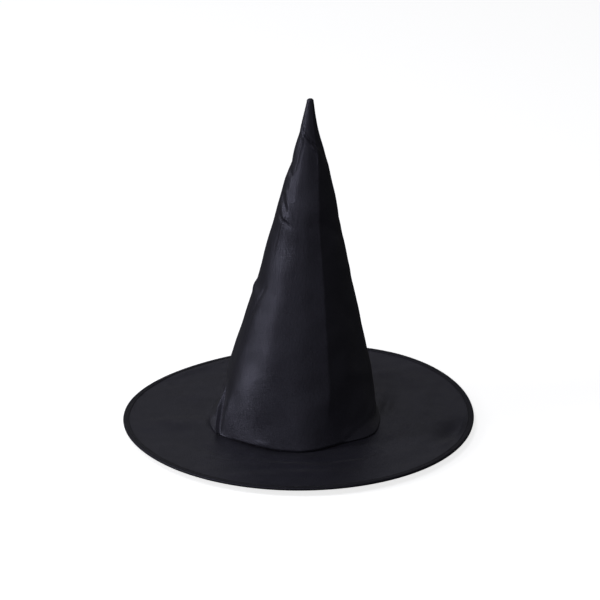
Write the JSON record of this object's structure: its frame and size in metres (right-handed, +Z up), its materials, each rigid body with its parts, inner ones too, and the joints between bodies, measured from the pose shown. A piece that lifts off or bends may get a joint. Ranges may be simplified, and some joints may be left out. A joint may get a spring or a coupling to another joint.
{
  "type": "witch hat",
  "caption": "Pointed black cloth costume hat with a soft cone crown that slouches to one side and a round, flat brim kept in shape by a wire hoop in its bound edge.",
  "frame": {"origin": "centre of the brim's underside, on the surface that the hat stands on", "axes": "+Z up through the head opening; +X towards the side that the crown leans to; the crown's sewn seam is at +Y, its back"},
  "size_m": [0.38, 0.38, 0.36],
  "materials": {
    "shell_cloth": "black woven polyester with a faint sheen",
    "binding_tape": "black folded tape, fine cross rib",
    "backing": "dark fused non-woven, matt",
    "interlining": "dark stiff non-woven, matt",
    "thread": "black spun polyester sewing thread",
    "spring_wire": "drawn spring steel",
    "ferrule": "crimped plated steel tube"
  },
  "bodies": {
    "hat_base": {"brim_top_cloth": "shell_cloth", "brim_interlining": "interlining", "brim_under_cloth": "shell_cloth", "brim_hoop": "spring_wire", "hoop_ferrule": "ferrule", "edge_binding": "binding_tape", "binding_needle_thread": "thread", "binding_bobbin_thread": "thread", "head_seam_tape": "binding_tape", "head_seam_thread": "thread", "crown_cloth_lower": "shell_cloth", "crown_backing_lower": "backing", "crown_seam_allowances_lower": "shell_cloth", "crown_seam_thread_lower": "thread"},
    "upper_crown": {"crown_cloth_upper": "shell_cloth", "crown_backing_upper": "backing", "crown_seam_allowances_upper": "shell_cloth", "crown_seam_thread_upper": "thread"},
    "crown_tip": {"crown_cloth_tip": "shell_cloth", "crown_seam_thread_tip": "thread", "tip_bar_tack": "thread"}
  },
  "joints": [
    {"name": "crown_slouch", "type": "hinge", "parent": "hat_base", "child": "upper_crown", "pos_m": [0.04804, 0, 0.19607], "axis": [0, 1, 0], "range_deg": [0, 45], "stiffness_Nm_per_rad": 0.01},
    {"name": "tip_bend", "type": "hinge", "parent": "upper_crown", "child": "crown_tip", "pos_m": [0.02871, 0, 0.29179], "axis": [0, 1, 0], "range_deg": [0, 60], "stiffness_Nm_per_rad": 0.002}
  ]
}
